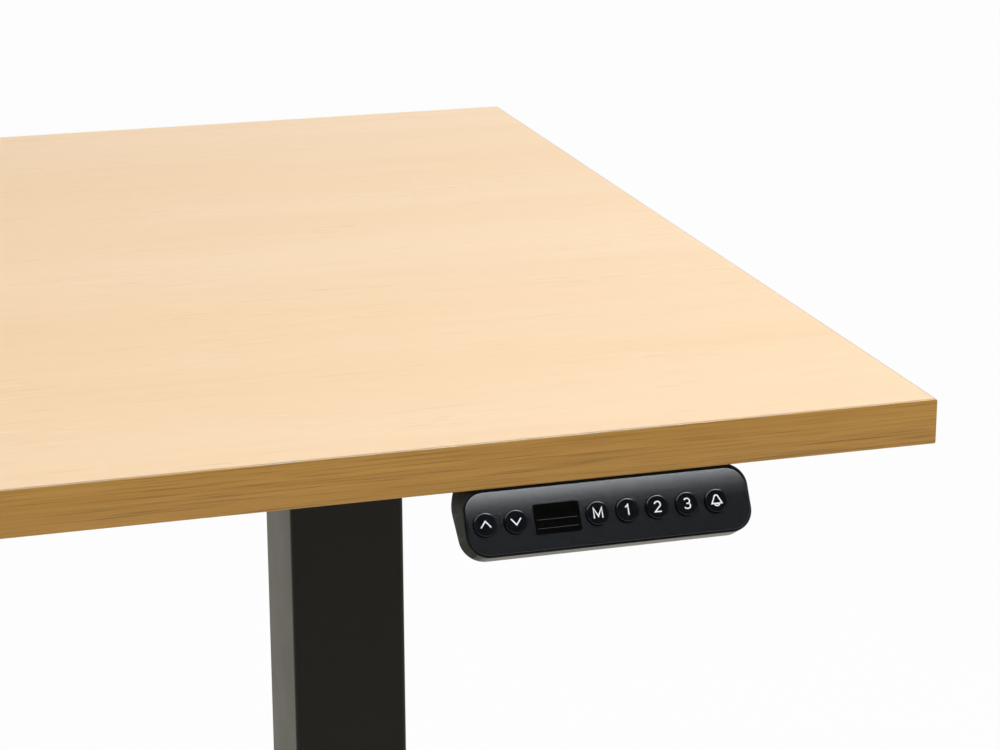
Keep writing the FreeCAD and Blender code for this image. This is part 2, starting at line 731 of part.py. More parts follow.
def handset_profile():
    """(y, z) outline of the case from the side: tilted front, sloping underside, flat on the board."""
    place = handset_place()
    half = bezel_height / 2 + handset_wall
    low = place.multVec(Vector(0, face_rise - half, -bezel_proud))
    heel = place.multVec(Vector(0, face_rise - half, -handset_depth_low))
    slope = place.multVec(Vector(0, face_rise + half, -handset_depth_high)) - heel
    face = place.Rotation.multVec(Vector(0, 1, 0))
    back = heel + slope * ((underside - heel.z) / slope.z)
    front = low + face * ((underside - low.z) / face.z)
    return [(low.y, low.z), (heel.y, heel.z), (back.y, back.z), (front.y, front.z)]


def button_places():
    """Name and x of each button along the face, the two arrows left of the display window."""
    return [(name, (step - row_middle) * button_pitch + row_offset)
            for name, step in button_steps.items()]


def case_outline(depth, top_radius):
    """Closed wire of the case at that depth behind the face; its top lies on the board."""
    place = handset_place()
    front = place.multVec(Vector(0, 0, -depth))
    up = place.Rotation.multVec(Vector(0, 1, 0))
    high = (underside - front.z) / up.z
    hx = bezel_width / 2 + handset_wall
    low = face_rise - bezel_height / 2 - handset_wall
    edges, ends = [], []
    for sx, y, sy, r in ((1, low, -1, bezel_radius + handset_wall), (1, high, 1, top_radius),
                         (-1, high, 1, top_radius), (-1, low, -1, bezel_radius + handset_wall)):
        k = r * (1 - math.sqrt(0.5))
        flat = Vector(sx * (hx - r), y, -depth)
        upright = Vector(sx * hx, y - sy * r, -depth)
        middle = Vector(sx * (hx - k), y - sy * k, -depth)
        ends.append((flat, middle, upright) if sx * sy < 0 else (upright, middle, flat))
    for i, (start, middle, end) in enumerate(ends):
        edges.append(Part.Arc(start, middle, end).toShape())
        edges.append(Part.LineSegment(end, ends[(i + 1) % 4][0]).toShape())
    return Part.Wire(edges)


def handset_case():
    """Wedge shaped case, round at the front, and the flange behind it for two wood screws."""
    x = top_width / 2 - handset_from_end
    width = bezel_width + 2 * handset_wall
    front = case_outline(bezel_proud, bezel_radius + handset_wall)
    middle = case_outline(handset_depth_high, rear_corner)
    rear = case_outline(handset_depth_high * 3, rear_corner)
    outline = fuse([Part.makeLoft([front, middle], True, True),
                    Part.makeLoft([middle, rear], True, True)])
    wedge = prism_along_x(handset_profile(), x - width, x + width)
    case = put(outline, handset_place()).common(wedge)
    back = handset_profile()[2][0]
    flange = block(x - bezel_width * 0.34, x + bezel_width * 0.34, back - flange_thickness * 1.6,
                   back + flange_reach, underside - flange_thickness, underside)
    hollow = rounded_bar(bezel_width + 0.2, bezel_height + 0.2, bezel_radius + 0.1,
                         -handset_depth_low + 1.6, 1.0, 0.0, face_rise)
    holes = [rod(screw_radius + hole_gap, Vector(px, py, underside - flange_thickness - 1),
                 flange_thickness + 2) for px, py in handset_screws()]
    return cut(fuse([case, flange]), [put(hollow, handset_place()), handset_gland()] + holes)


def handset_gland():
    """Cable hole in the case's sloping underside."""
    place = handset_place()
    start = place.multVec(Vector(bezel_width * 0.3, 0, -handset_depth_low + 2))
    return rod(2.5, start, handset_depth_high, place.Rotation.multVec(Vector(0, 0, -1)))


def handset_parts():
    made = {"handset_case": handset_case()}

    # bezel: the front plate, with a round hole for each button and one for the window
    bezel = rounded_bar(bezel_width, bezel_height, bezel_radius, -bezel_thickness, 0.0,
                        0.0, face_rise)
    rim = [e for e in bezel.Edges if e.BoundBox.ZMin > -0.01]
    bezel = bezel.makeFillet(0.6, rim)
    holes = [rod(button_radius + button_gap, Vector(x, 0, -bezel_thickness - 1),
                 bezel_thickness + 2) for _, x in button_places()]
    holes.append(rounded_bar(window_x + 0.2, window_y + 0.2, 1.1, -bezel_thickness - 1, 1.0,
                             window_centre))
    made["handset_bezel"] = cut(bezel, holes)
    made["display_window"] = rounded_bar(window_x, window_y, 1.0, -bezel_thickness,
                                         -window_recess, window_centre)

    # board with the display block behind the window, and a switch under each button
    board_top = -board_depth
    board = rounded_bar(bezel_width - 6, bezel_height - 4, 4.0, board_top - board_thickness,
                        board_top)
    display = rounded_bar(window_x - 1, window_y - 1, 0.5, board_top, -bezel_thickness - 0.3,
                          window_centre)
    made["handset_board"] = fuse([board, display])
    plunger_top = -bezel_thickness - 2.4 - button_travel - 0.1
    made["button_switches"] = group([rod(3.0, Vector(x, 0, board_top), plunger_top - board_top)
                                     for _, x in button_places()])

    for name, x in button_places():
        cap = rod(button_radius, Vector(x, 0, -bezel_thickness - 0.1),
                  bezel_thickness + 0.1 + button_proud)
        rim = [e for e in cap.Edges if e.BoundBox.ZMin > button_proud - 0.01]
        cap = cap.makeFillet(0.5, rim)
        flange = rod(button_radius + button_flange, Vector(x, 0, -bezel_thickness - 0.9), 0.8)
        stem = rod(1.6, Vector(x, 0, -bezel_thickness - 2.4), 2.0)
        made[name] = fuse([cap, flange, stem])
    for name, shape in made.items():
        if name != "handset_case":
            made[name] = put(shape, handset_place())
    return made


# ---------------------------------------------------------------- the whole desk
def build():
    made = worktop()
    made["tabletop_screws"] = tabletop_screws()
    for name, side in sides.items():
        made[f"side_support_{name}"] = side_support(side)
        made[f"gearbox_{name}"] = gearbox(side)
        made[f"inner_column_{name}"] = inner_column(side)
        made[f"spindle_{name}"] = spindle(side)
        made[f"spindle_gear_{name}"] = spindle_gear(side)
        made[f"outer_column_{name}"] = outer_column(side)
        made[f"column_collar_{name}"] = column_collar(side)
        made[f"push_tube_{name}"] = push_tube(side)
        made[f"spindle_nut_{name}"] = spindle_nut(side)
        made[f"foot_{name}"] = foot(side)
        made[f"foot_bolts_{name}"] = foot_bolts(side)
        for end_name, end in (("front", -1.0), ("rear", 1.0)):
            made[f"leveller_{name}_{end_name}"] = leveller(side, end)
    made["front_rail"] = rail(-1.0)
    made["rear_rail"] = rail(1.0)
    made["frame_bolts"] = frame_bolts()
    made["head_bolts"] = head_bolts()
    made["gearbox_lids"] = group([gearbox_lid(s) for s in sides.values()])
    made["inner_column_glides"] = group([inner_glide(s) for s in sides.values()])
    made["spindle_bearings"] = group([spindle_bearing(s) for s in sides.values()])
    made["drive_shaft"] = drive_shaft()
    made["shaft_gears"] = group([shaft_gear(s) for s in sides.values()])
    made["shaft_hub"] = shaft_hub()
    made["motor_gear_housing"] = motor_block()
    made["motor_can"] = motor_can()
    made["motor_end_cap"] = motor_end_cap()
    made.update(control_box())
    made.update(handset_parts())
    return made


def main():
    os.makedirs("parts", exist_ok=True)
    made = build()
    whole = Part.Compound(list(made.values())).BoundBox
    to_origin = Vector(-(whole.XMin + whole.XMax) / 2, -(whole.YMin + whole.YMax) / 2, -whole.ZMin)
    for name, shape in made.items():
        shape.translate(to_origin)
        shape.exportStep(os.path.join("parts", f"{name}.step"))
        print(name, len(shape.Solids), shape.isValid(), round(shape.Volume, 1))
    print("nodes", len(made), "moved to origin by", [round(v, 4) for v in to_origin])


main()
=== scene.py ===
import json
import math

import bmesh
import bpy
from mathutils import Matrix, Vector


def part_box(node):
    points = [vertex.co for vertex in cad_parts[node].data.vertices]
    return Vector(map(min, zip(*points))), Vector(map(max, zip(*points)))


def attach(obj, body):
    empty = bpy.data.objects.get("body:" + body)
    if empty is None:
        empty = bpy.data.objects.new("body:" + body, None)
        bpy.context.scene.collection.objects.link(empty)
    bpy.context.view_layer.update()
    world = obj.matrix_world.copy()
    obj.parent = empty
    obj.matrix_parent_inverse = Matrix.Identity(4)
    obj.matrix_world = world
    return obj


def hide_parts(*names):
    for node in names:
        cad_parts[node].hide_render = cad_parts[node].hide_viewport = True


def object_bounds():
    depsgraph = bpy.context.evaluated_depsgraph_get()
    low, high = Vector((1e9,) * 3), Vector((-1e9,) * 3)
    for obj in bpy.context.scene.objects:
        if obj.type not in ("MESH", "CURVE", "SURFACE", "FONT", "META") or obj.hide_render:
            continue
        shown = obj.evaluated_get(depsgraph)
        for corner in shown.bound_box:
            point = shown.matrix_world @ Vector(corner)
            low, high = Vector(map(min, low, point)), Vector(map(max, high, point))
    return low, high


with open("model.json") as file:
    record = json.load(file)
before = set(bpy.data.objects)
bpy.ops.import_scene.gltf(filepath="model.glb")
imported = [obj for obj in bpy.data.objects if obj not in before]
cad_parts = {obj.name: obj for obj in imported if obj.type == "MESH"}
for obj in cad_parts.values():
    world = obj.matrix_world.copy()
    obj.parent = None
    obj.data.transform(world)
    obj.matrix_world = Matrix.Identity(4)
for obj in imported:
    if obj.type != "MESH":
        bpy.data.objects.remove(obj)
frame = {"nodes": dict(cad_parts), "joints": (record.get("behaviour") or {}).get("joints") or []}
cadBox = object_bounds()
nodes = frame["nodes"]
bpy.context.scene.view_settings.view_transform = "Standard"


# node trees and meshes

def newMaterial(name):
    mat = bpy.data.materials.new(name)
    mat.use_nodes = True
    return mat, mat.node_tree, mat.node_tree.nodes["Principled BSDF"]


def addNode(tree, kind, inputs=None, **settings):
    node = tree.nodes.new(kind)
    for key, value in settings.items():
        setattr(node, key, value)
    for key, value in (inputs or {}).items():
        if isinstance(value, bpy.types.NodeSocket):
            tree.links.new(value, node.inputs[key])
        else:
            node.inputs[key].default_value = value
    return node


def pattern(tree, scale=(1, 1, 1), shift=(0, 0, 0)):
    where = addNode(tree, "ShaderNodeTexCoord").outputs["Object"]
    return addNode(tree, "ShaderNodeMapping", {"Vector": where, "Scale": scale, "Location": shift}).outputs[0]


def noise(tree, vector, scale, detail=3.0, rough=0.5, distortion=0.0):
    return addNode(tree, "ShaderNodeTexNoise", {"Vector": vector, "Scale": scale, "Detail": detail,
                                                "Roughness": rough, "Distortion": distortion}).outputs["Fac"]


def spread(tree, value, low, high, outLow=0.0, outHigh=1.0):
    return addNode(tree, "ShaderNodeMapRange", {"Value": value, "From Min": low, "From Max": high,
                                                "To Min": outLow, "To Max": outHigh}).outputs[0]


def calc(tree, operation, a, b):
    return addNode(tree, "ShaderNodeMath", {0: a, 1: b}, operation=operation).outputs[0]


def mixColour(tree, fac, a, b):
    node = addNode(tree, "ShaderNodeMix", data_type="RGBA")
    for socket, value in ((node.inputs[0], fac), (node.inputs[6], a), (node.inputs[7], b)):
        if isinstance(value, bpy.types.NodeSocket):
            tree.links.new(value, socket)
        else:
            socket.default_value = value if isinstance(value, float) else (*value, 1)
    return node.outputs[2]


def bump(tree, height, strength, distance, under=None):
    inputs = {"Height": height, "Strength": strength, "Distance": distance}
    if under is not None:
        inputs["Normal"] = under
    return addNode(tree, "ShaderNodeBump", inputs).outputs["Normal"]


def shade(tree, shader, colour=None, rough=None, normal=None, **fixed):
    for key, value in (("Base Color", colour), ("Roughness", rough), ("Normal", normal)):
        if isinstance(value, bpy.types.NodeSocket):
            tree.links.new(value, shader.inputs[key])
        elif value is not None:
            shader.inputs[key].default_value = (*value, 1) if key == "Base Color" else value
    for key, value in fixed.items():
        shader.inputs[key].default_value = value


def giveMaterial(mat, *names):
    for name in names:
        for slot in nodes[name].material_slots:
            slot.material = mat


def meshFromBmesh(name, work, flip=True):
    bmesh.ops.remove_doubles(work, verts=work.verts, dist=1e-7)
    if flip:
        bmesh.ops.recalc_face_normals(work, faces=work.faces)
    mesh = bpy.data.meshes.new(name)
    work.to_mesh(mesh)
    work.free()
    return mesh


def addPiece(name, mesh, body, mats=(), smooth=None):
    piece = bpy.data.objects.new(name, mesh)
    bpy.context.scene.collection.objects.link(piece)
    for mat in mats:
        mesh.materials.append(mat)
    if smooth is not None:
        mesh.shade_smooth()
        mesh.set_sharp_from_angle(angle=math.radians(smooth))
    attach(piece, body)
    return piece


def loftRings(rings, closeEnds=True, loop=False):
    work = bmesh.new()
    made = [[work.verts.new(p) for p in ring] for ring in rings]
    pairs = list(zip(made, made[1:])) + ([(made[-1], made[0])] if loop else [])
    for low, high in pairs:
        for i in range(len(low)):
            j = (i + 1) % len(low)
            work.faces.new((low[i], low[j], high[j], high[i]))
    if closeEnds and not loop:
        work.faces.new(made[0][::-1])
        work.faces.new(made[-1])
    return work


# worktop: printed maple laminate with its grain along the width

laminate = {"pale": (0.864, 0.622, 0.374), "warm": (0.838, 0.580, 0.322), "fleck": (0.66, 0.42, 0.21),
            "silk": (0.93, 0.72, 0.48), "streaks": (3.2, 90.0), "pores": (40.0, 820.0), "curls": (45.0, 380.0),
            "fleckStrength": 0.5, "gloss": 0.32}


def makeLaminate():
    mat, tree, shader = newMaterial("mapleLaminate")
    s = laminate
    bands = noise(tree, pattern(tree, (0.8, 7.0, 7.0), (0.3, 0.1, 0)), 1.0, 2.0, 0.5, 0.6)
    streaks = noise(tree, pattern(tree, (s["streaks"][0], s["streaks"][1], s["streaks"][1])), 1.0, 4.0, 0.6, 0.3)
    clouds = noise(tree, pattern(tree, (5.0, 26.0, 26.0), (2, 1, 0)), 1.0, 3.0, 0.55, 0.8)
    base = mixColour(tree, spread(tree, bands, 0.35, 0.68), s["pale"], s["warm"])
    base = mixColour(tree, spread(tree, streaks, 0.42, 0.78, 0.0, 0.35), base, s["warm"])
    base = mixColour(tree, spread(tree, clouds, 0.52, 0.8, 0.0, 0.14), base, s["fleck"])
    pores = noise(tree, pattern(tree, (s["pores"][0], s["pores"][1], s["pores"][1])), 1.0, 2.0, 0.4)
    wisps = noise(tree, pattern(tree, (10.0, 140.0, 140.0), (1, 2, 3)), 1.0, 3.0, 0.6, 1.0)
    mask = calc(tree, "MULTIPLY", spread(tree, pores, 0.56, 0.7), spread(tree, wisps, 0.52, 0.66))
    colour = mixColour(tree, calc(tree, "MULTIPLY", mask, s["fleckStrength"]), base, s["fleck"])
    curls = noise(tree, pattern(tree, (s["curls"][0], s["curls"][1], s["curls"][1]), (4, 5, 6)), 1.0, 2.0, 0.5, 1.6)
    patches = noise(tree, pattern(tree, (7.0, 18.0, 18.0), (8, 2, 1)), 1.0, 2.0, 0.5)
    light = calc(tree, "MULTIPLY", spread(tree, curls, 0.60, 0.72), spread(tree, patches, 0.48, 0.62))
    dark = calc(tree, "MULTIPLY", spread(tree, curls, 0.40, 0.30), spread(tree, patches, 0.52, 0.64))
    colour = mixColour(tree, calc(tree, "MULTIPLY", light, 0.7), colour, s["silk"])
    colour = mixColour(tree, calc(tree, "MULTIPLY", dark, 0.35), colour, s["fleck"])
    rough = spread(tree, streaks, 0.0, 1.0, s["gloss"] - 0.05, s["gloss"] + 0.1)
    skin = noise(tree, pattern(tree), 2600.0, 2.0, 0.5)
    normal = bump(tree, skin, 0.1, 0.0001, bump(tree, mask, -0.12, 0.0001))
    shade(tree, shader, colour, rough, normal)
    return mat


# edge band colours, darker than the worktop's laminate: partly the band's own amber tone and partly painted shade of
# its upright faces, which turn away from the light above
edging = {"shadedAmber": (0.42, 0.208, 0.031), "light": (0.50, 0.262, 0.048), "dark": (0.24, 0.11, 0.018),
          "core": (0.33, 0.26, 0.18), "round": 0.0009, "steps": 4, "gloss": 0.4}


def makeEdging(name, along):
    mat, tree, shader = newMaterial(name)
    s = edging
    coarse = (6.0, 260.0, 430.0) if along == "x" else (260.0, 6.0, 430.0)
    fine = (20.0, 900.0, 1500.0) if along == "x" else (900.0, 20.0, 1500.0)
    grain = noise(tree, pattern(tree, coarse), 1.0, 4.0, 0.6, 0.4)
    lines = noise(tree, pattern(tree, fine), 1.0, 3.0, 0.55, 0.2)
    # the band's amber, light and dark grain colours all carry painted shade as well as the band's own tone
    colour = mixColour(tree, spread(tree, grain, 0.35, 0.7), s["light"], s["shadedAmber"])
    colour = mixColour(tree, spread(tree, lines, 0.5, 0.72, 0.0, 0.8), colour, s["dark"])
    shade(tree, shader, colour, s["gloss"], bump(tree, lines, -0.2, 0.0001))
    return mat


def makeArris():
    mat, tree, shader = newMaterial("edgingArris")
    tone = noise(tree, pattern(tree, (40.0, 40.0, 900.0)), 1.0, 3.0, 0.5)
    # the arris blends a core tone with the band's light amber, which carries painted shade
    colour = mixColour(tree, spread(tree, tone, 0.3, 0.75), edging["core"], edging["light"])
    shade(tree, shader, colour, 0.3)
    return mat


def makeEdgeBands():
    # a ring of band round the board, its outer arrises rounded over
    boxes = [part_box(n) for n in ("edge_band_front", "edge_band_rear", "edge_bands_ends")]
    low = Vector([min(b[0][i] for b in boxes) for i in range(3)])
    high = Vector([max(b[1][i] for b in boxes) for i in range(3)])
    thick = boxes[0][1].y - boxes[0][0].y
    r, steps = edging["round"], edging["steps"]
    profile = [(thick, high.z), (r, high.z)]
    profile += [(r - r * math.sin(a), high.z - r + r * math.cos(a))
                for a in (math.pi / 2 * i / steps for i in range(1, steps + 1))]
    profile += [(0.0, low.z + r)]
    profile += [(r - r * math.cos(a), low.z + r - r * math.sin(a))
                for a in (math.pi / 2 * i / steps for i in range(1, steps + 1))]
    profile += [(thick, low.z)]
    rings = [[(low.x + d, low.y + d, z), (high.x - d, low.y + d, z),
              (high.x - d, high.y - d, z), (low.x + d, high.y - d, z)] for d, z in profile]
    work = loftRings(rings, loop=True)
    bmesh.ops.remove_doubles(work, verts=work.verts, dist=1e-7)
    bmesh.ops.recalc_face_normals(work, faces=work.faces)
    for face in work.faces:
        n, mid = face.normal, face.calc_center_median()
        rounded = 0.25 < abs(n.z) < 0.995 and mid.z > low.z + 2 * r
        face.material_index = 2 if rounded or n.z > 0.995 else (1 if abs(n.x) > abs(n.y) else 0)
    mesh = meshFromBmesh("edgeBands", work, flip=False)
    mats = (makeEdging("edgingLong", "x"), makeEdging("edgingEnds", "y"), makeArris())
    piece = addPiece("edgeBands", mesh, "top", mats, smooth=35)
    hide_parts("edge_band_front", "edge_band_rear", "edge_bands_ends")


giveMaterial(makeLaminate(), "worktop_board")
makeEdgeBands()
print("worktop done")


# steel, cast and plastic finishes of the frame

coatings = {"powder": {"colour": (0.0052, 0.0048, 0.0038), "pale": (0.0076, 0.0070, 0.0055), "gloss": 0.38},
            "satinBlack": {"colour": (0.015, 0.015, 0.015), "pale": (0.021, 0.021, 0.022), "gloss": 0.33}}


def makeCoating(name):
    mat, tree, shader = newMaterial(name)
    s = coatings[name]
    orange = noise(tree, pattern(tree), 1500.0, 2.0, 0.55)
    patches = noise(tree, pattern(tree), 14.0, 3.0, 0.5)
    colour = mixColour(tree, spread(tree, patches, 0.35, 0.7), s["colour"], s["pale"])
    rough = spread(tree, patches, 0.3, 0.7, s["gloss"], s["gloss"] + 0.08)
    shade(tree, shader, colour, rough, bump(tree, orange, 0.3, 0.00025),
          **{"Specular IOR Level": 0.24, "Specular Tint": (1.0, 0.965, 0.88, 1.0)})
    return mat


metals = {"castAluminium": {"colour": (0.40, 0.40, 0.41), "dark": (0.27, 0.27, 0.28), "grain": 900.0, "gloss": 0.52},
          "groundSteel": {"colour": (0.56, 0.56, 0.57), "dark": (0.40, 0.40, 0.41), "grain": 2500.0, "gloss": 0.28},
          "drawnSteel": {"colour": (0.42, 0.42, 0.43), "dark": (0.30, 0.30, 0.30), "grain": 1500.0, "gloss": 0.36},
          "zincPlate": {"colour": (0.42, 0.42, 0.43), "dark": (0.30, 0.29, 0.27), "grain": 700.0, "gloss": 0.34}}


def makeMetal(name, along=(1, 1, 1)):
    mat, tree, shader = newMaterial(name)
    s = metals[name]
    grain = noise(tree, pattern(tree, along), s["grain"], 3.0, 0.6)
    stains = noise(tree, pattern(tree), 60.0, 3.0, 0.55, 0.4)
    colour = mixColour(tree, spread(tree, stains, 0.35, 0.75), s["colour"], s["dark"])
    rough = spread(tree, grain, 0.25, 0.75, s["gloss"] - 0.06, s["gloss"] + 0.12)
    shade(tree, shader, colour, rough, bump(tree, grain, 0.25, 0.0001), Metallic=1.0)
    return mat


plastics = {"mouldedBlack": {"colour": (0.021, 0.021, 0.0215), "worn": (0.034, 0.034, 0.035),
                             "grain": 2200.0, "gloss": 0.5},
            "naturalNylon": {"colour": (0.74, 0.73, 0.68), "worn": (0.63, 0.61, 0.54),
                             "grain": 1400.0, "gloss": 0.42},
            "socketPlastic": {"colour": (0.035, 0.035, 0.036), "worn": (0.05, 0.05, 0.05),
                              "grain": 1800.0, "gloss": 0.38},
            "boardGreen": {"colour": (0.02, 0.11, 0.05), "worn": (0.03, 0.15, 0.07),
                           "grain": 900.0, "gloss": 0.35},
            "handsetShell": {"colour": (0.0042, 0.0050, 0.0062), "worn": (0.0058, 0.0068, 0.0082),
                             "grain": 3800.0}}


def makePlastic(name):
    mat, tree, shader = newMaterial(name)
    s = plastics[name]
    spark = noise(tree, pattern(tree), s["grain"], 2.0, 0.5)
    worn = noise(tree, pattern(tree), 55.0, 3.0, 0.5)
    colour = mixColour(tree, spread(tree, worn, 0.4, 0.8), s["colour"], s["worn"])
    rough = spread(tree, spark, 0.3, 0.7, s["gloss"] - 0.04, s["gloss"] + 0.08)
    shade(tree, shader, colour, rough, bump(tree, spark, 0.35, 0.00012))
    return mat


powder = makeCoating("powder")
mouldedBlack = makePlastic("mouldedBlack")
castAluminium = makeMetal("castAluminium")
groundSteel = makeMetal("groundSteel")
zincPlate = makeMetal("zincPlate")
sideNames = ("left", "right")
for side in sideNames:
    giveMaterial(powder, f"side_support_{side}", f"outer_column_{side}", f"inner_column_{side}", f"foot_{side}")
    giveMaterial(castAluminium, f"gearbox_{side}")
    giveMaterial(groundSteel, f"spindle_{side}", f"spindle_gear_{side}")
    giveMaterial(mouldedBlack, f"column_collar_{side}", f"leveller_{side}_front", f"leveller_{side}_rear")
giveMaterial(powder, "front_rail", "rear_rail")
giveMaterial(castAluminium, "gearbox_lids", "motor_gear_housing")
giveMaterial(groundSteel, "spindle_bearings", "shaft_gears", "shaft_hub")
giveMaterial(makeMetal("drawnSteel", (0.02, 1, 1)), "drive_shaft", "push_tube_left", "push_tube_right")
giveMaterial(makeCoating("satinBlack"), "motor_can")
giveMaterial(mouldedBlack, "motor_end_cap", "control_box_body", "control_box_lid")
giveMaterial(makePlastic("socketPlastic"), "control_box_sockets")
giveMaterial(makePlastic("naturalNylon"), "inner_column_glides", "spindle_nut_left", "spindle_nut_right")
giveMaterial(zincPlate, "head_bolts")
print("finishes done")


# bolts and screws: one head shape, set on every seat by geometry nodes

boltHead = {"segments": 48, "flange": 0.18, "dome": ((0.97, 0.45), (0.86, 0.78), (0.70, 0.96), (0.60, 1.0)),
            "socketAcross": 0.52, "socketDepth": 0.55, "crossArm": 0.50, "crossWidth": 0.17}


def recessRadius(angle, kind):
    if kind == "hex":
        turn = (angle + math.pi / 6) % (math.pi / 3) - math.pi / 6
        return boltHead["socketAcross"] * math.cos(math.pi / 6) / math.cos(turn)
    off = abs((math.degrees(angle) + 45) % 90 - 45)
    return boltHead["crossArm"] if off < 12 else boltHead["crossWidth"]


def boltMesh(name, headRadius, headHeight, shankRadius, length, kind):
    s = boltHead
    angles = [2 * math.pi * i / s["segments"] for i in range(s["segments"])]

    def ring(radius, z):
        return [(radius * math.cos(a), radius * math.sin(a), z) for a in angles]

    def recess(z, shrink=1.0):
        return [(headRadius * shrink * recessRadius(a, kind) * math.cos(a),
                 headRadius * shrink * recessRadius(a, kind) * math.sin(a), z) for a in angles]

    rings = [ring(shankRadius * 0.8, -length), ring(shankRadius, -length + shankRadius * 0.3),
             ring(shankRadius, 0.0), ring(headRadius, 0.0), ring(headRadius, headHeight * s["flange"])]
    rings += [ring(headRadius * r, headHeight * z) for r, z in s["dome"]]
    rings += [recess(headHeight), recess(headHeight * (1 - s["socketDepth"]), 0.9)]
    return meshFromBmesh(name, loftRings(rings))


def seatTree():
    tree = bpy.data.node_groups.new("boltsOnSeats", "GeometryNodeTree")
    face = tree.interface
    face.new_socket(name="Seats", in_out="INPUT", socket_type="NodeSocketGeometry")
    face.new_socket(name="Bolt", in_out="INPUT", socket_type="NodeSocketObject")
    face.new_socket(name="Size", in_out="INPUT", socket_type="NodeSocketFloat")
    face.new_socket(name="Finish", in_out="INPUT", socket_type="NodeSocketMaterial")
    face.new_socket(name="Bolts", in_out="OUTPUT", socket_type="NodeSocketGeometry")
    given = tree.nodes.new("NodeGroupInput")
    bolt = addNode(tree, "GeometryNodeObjectInfo", {"Object": given.outputs["Bolt"]})
    aim = addNode(tree, "GeometryNodeInputNamedAttribute", {"Name": "aim"}, data_type="FLOAT_VECTOR")
    turn = addNode(tree, "FunctionNodeAlignRotationToVector", {"Vector": aim.outputs["Attribute"]}, axis="Z")
    twist = addNode(tree, "FunctionNodeRandomValue", {"Min": 0.0, "Max": 6.28, "Seed": 4})
    spin = addNode(tree, "FunctionNodeAxisAngleToRotation", {"Axis": (0, 0, 1), "Angle": twist.outputs[1]})
    both = addNode(tree, "FunctionNodeRotateRotation", {"Rotation": turn.outputs[0], "Rotate By": spin.outputs[0]},
                   rotation_space="LOCAL")
    put = addNode(tree, "GeometryNodeInstanceOnPoints",
                  {"Points": given.outputs["Seats"], "Instance": bolt.outputs["Geometry"],
                   "Rotation": both.outputs[0], "Scale": given.outputs["Size"]})
    solid = addNode(tree, "GeometryNodeRealizeInstances", {"Geometry": put.outputs["Instances"]})
    painted = addNode(tree, "GeometryNodeSetMaterial",
                      {"Geometry": solid.outputs[0], "Material": given.outputs["Finish"]})
    out = tree.nodes.new("NodeGroupOutput")
    tree.links.new(painted.outputs[0], out.inputs[0])
    return tree


def runTree(tree, points, values):
    # evaluates the tree on the object once and returns the plain mesh
    modifier = points.modifiers.new("nodes", "NODES")
    modifier.node_group = tree
    for item in tree.interface.items_tree:
        if item.name in values and item.in_out == "INPUT":
            modifier[item.identifier] = values[item.name]
    bpy.context.view_layer.update()
    graph = bpy.context.evaluated_depsgraph_get()
    mesh = bpy.data.meshes.new_from_object(points.evaluated_get(graph))
    points.modifiers.remove(modifier)
    bpy.data.objects.remove(points)
    return mesh


def solidsOf(name):
    # each separate fastener of a node as its list of points
    work = bmesh.new()
    work.from_mesh(nodes[name].data)
    bmesh.ops.remove_doubles(work, verts=work.verts, dist=1e-6)
    left, groups = set(work.verts), []
    while left:
        queue, group = [left.pop()], []
        while queue:
            vert = queue.pop()
            group.append(vert.co.copy())
            for edge in vert.link_edges:
                other = edge.other_vert(vert)
                if other in left:
                    left.remove(other)
                    queue.append(other)
        groups.append(group)
    work.free()
    return groups


def measureBolt(points):
    # seat, direction out of the head, and sizes, read from the fastener's own points
    low = Vector([min(p[i] for p in points) for i in range(3)])
    high = Vector([max(p[i] for p in points) for i in range(3)])
    size, middle = high - low, (low + high) / 2
    axis = min(range(3), key=lambda i: abs(size[i - 1] - size[i - 2]))
    others = [i for i in range(3) if i != axis]

    def reach(p):
        return math.hypot(p[others[0]] - middle[others[0]], p[others[1]] - middle[others[1]])

    headRadius = max(reach(p) for p in points)
    wide = [p[axis] for p in points if reach(p) > headRadius * 0.985]
    sign = 1.0 if sum(wide) / len(wide) > middle[axis] else -1.0
    seatAt = min(wide) if sign > 0 else max(wide)
    tip = low[axis] if sign > 0 else high[axis]
    top = high[axis] if sign > 0 else low[axis]
    shank = max(reach(p) for p in points if abs(p[axis] - tip) < 1e-5)
    seat, aim = middle.copy(), Vector((0, 0, 0))
    seat[axis], aim[axis] = seatAt, sign
    return seat, aim, tuple(round(v, 5) for v in (headRadius, abs(top - seatAt), shank, abs(seatAt - tip)))


def remakeBolts(node, body, kind, tree):
    groups = {}
    for points in solidsOf(node):
        seat, aim, sizes = measureBolt(points)
        groups.setdefault(sizes, []).append((seat, aim))
    whole = bmesh.new()
    for sizes, seats in sorted(groups.items()):
        bolt = bpy.data.objects.new("boltShape", boltMesh("boltShape", *sizes, kind))
        bpy.context.scene.collection.objects.link(bolt)
        mesh = bpy.data.meshes.new("seats")
        mesh.from_pydata([s for s, _ in seats], [], [])
        aims = mesh.attributes.new("aim", "FLOAT_VECTOR", "POINT")
        for i, (_, aim) in enumerate(seats):
            aims.data[i].vector = aim
        points = bpy.data.objects.new("seats", mesh)
        bpy.context.scene.collection.objects.link(points)
        made = runTree(tree, points, {"Bolt": bolt, "Size": 1.0, "Finish": zincPlate})
        whole.from_mesh(made)
        bpy.data.objects.remove(bolt)
    name = "".join(part.capitalize() if i else part for i, part in enumerate(node.split("_")))
    mesh = bpy.data.meshes.new(name)
    whole.to_mesh(mesh)
    whole.free()
    piece = addPiece(name, mesh, body, (zincPlate,), smooth=32)
    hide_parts(node)


seats = seatTree()
remakeBolts("tabletop_screws", "top", "cross", seats)
remakeBolts("frame_bolts", "top", "hex", seats)
for side in sideNames:
    remakeBolts(f"foot_bolts_{side}", f"base_{side}", "hex", seats)
print("bolts done")


# weld beads under the paint, where the tubes meet their plates

weld = {"width": 0.0032, "step": 0.0016, "unevenness": 0.25, "aboveBolts": 0.0005}


